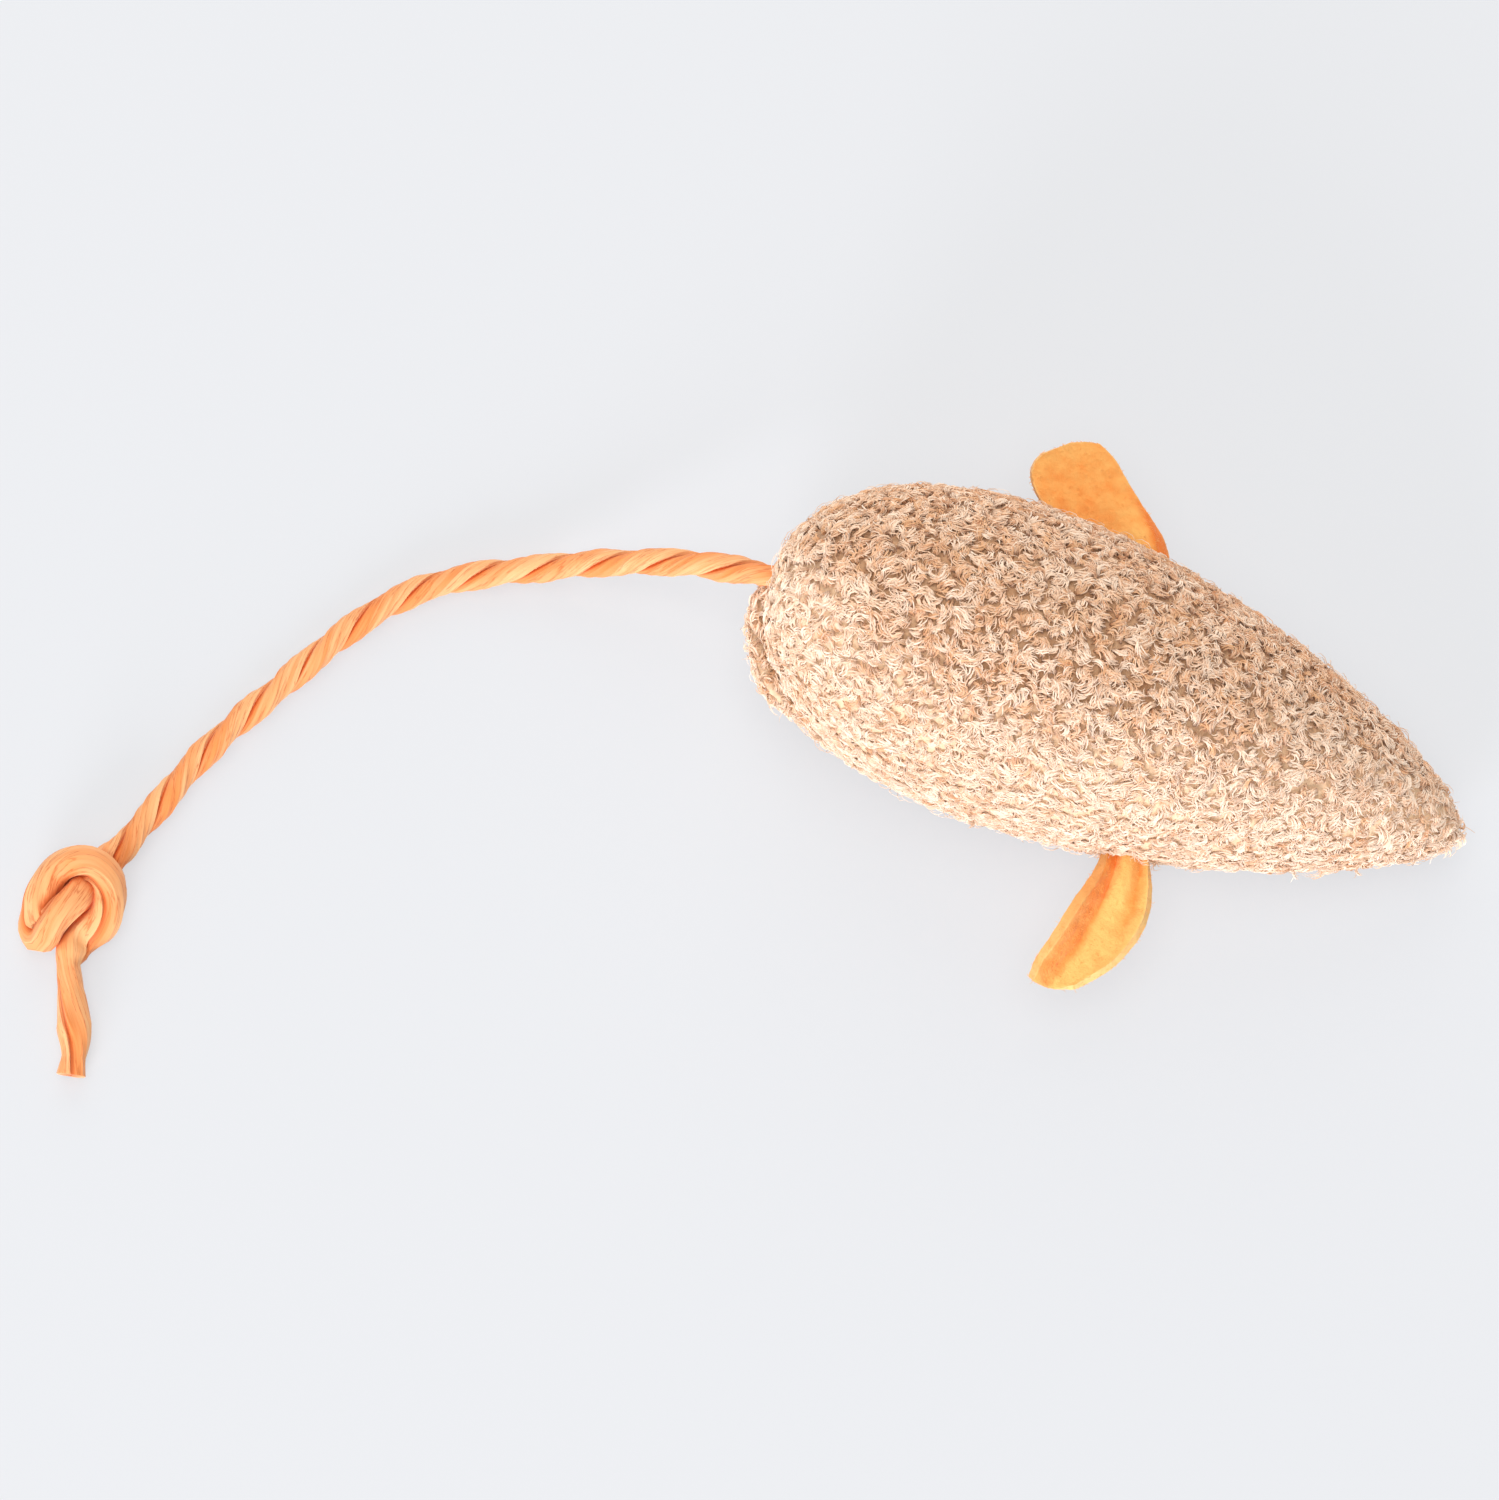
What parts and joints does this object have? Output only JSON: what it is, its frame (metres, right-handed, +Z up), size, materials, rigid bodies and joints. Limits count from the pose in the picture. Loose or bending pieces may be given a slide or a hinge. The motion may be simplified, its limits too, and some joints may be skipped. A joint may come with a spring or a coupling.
{
  "type": "catnip mouse",
  "caption": "Stuffed teardrop cat toy of curly terry cloth with orange felt ears and a knotted tail of twisted paper cord, filled with fibre and dried catnip.",
  "frame": {"origin": "on the table under the middle of the body's length, on the flat of the belly", "axes": "+X to the nose, +Y to the mouse's left, +Z up from the table"},
  "size_m": [0.1451, 0.1025, 0.0285],
  "materials": {
    "terry": "short curly beige loop pile",
    "thread": "spun cotton sewing thread",
    "filling": "loose white fibre filling",
    "herb": "dry crumbled leaf",
    "felt": "soft orange wool felt",
    "paper_cord": "twisted creased orange paper with a faint sheen"
  },
  "bodies": {
    "body": {"back_cover": "terry", "belly_cover": "terry", "seam_thread": "thread", "closing_thread": "thread", "stuffing": "filling", "catnip": "herb", "left_ear_root": "felt", "right_ear_root": "felt", "tail_root": "paper_cord"},
    "left_ear": {"left_ear": "felt"},
    "right_ear": {"right_ear": "felt"},
    "tail_base": {"tail_base": "paper_cord"},
    "tail_middle": {"tail_middle": "paper_cord"},
    "tail_tip": {"tail_tip": "paper_cord", "tail_knot": "paper_cord", "tail_end": "paper_cord"}
  },
  "joints": [
    {"name": "left_ear_fold", "type": "hinge", "parent": "body", "child": "left_ear", "pos_m": [-0.00766, 0.0182, 0.00948], "axis": [0.9958, -0.0538, -0.0747], "range_deg": [-35, 60], "stiffness_Nm_per_rad": 0.00003},
    {"name": "right_ear_fold", "type": "hinge", "parent": "body", "child": "right_ear", "pos_m": [0.00712, -0.01626, 0.00839], "axis": [-0.9779, -0.1957, 0.0734], "range_deg": [-25, 60], "stiffness_Nm_per_rad": 0.00003},
    {"name": "tail_swing", "type": "hinge", "parent": "body", "child": "tail_base", "pos_m": [-0.04189, 0.0004, 0.01114], "axis": [0, 0, 1], "range_deg": [-50, 50]},
    {"name": "tail_lift", "type": "hinge", "parent": "tail_base", "child": "tail_middle", "pos_m": [-0.07282, -0.00904, 0.00173], "axis": [-0.5151, 0.8571, 0], "range_deg": [0, 70]},
    {"name": "tail_curl", "type": "hinge", "parent": "tail_middle", "child": "tail_tip", "pos_m": [-0.08809, -0.02848, 0.0017], "axis": [0, 0, 1], "range_deg": [-50, 50]}
  ]
}
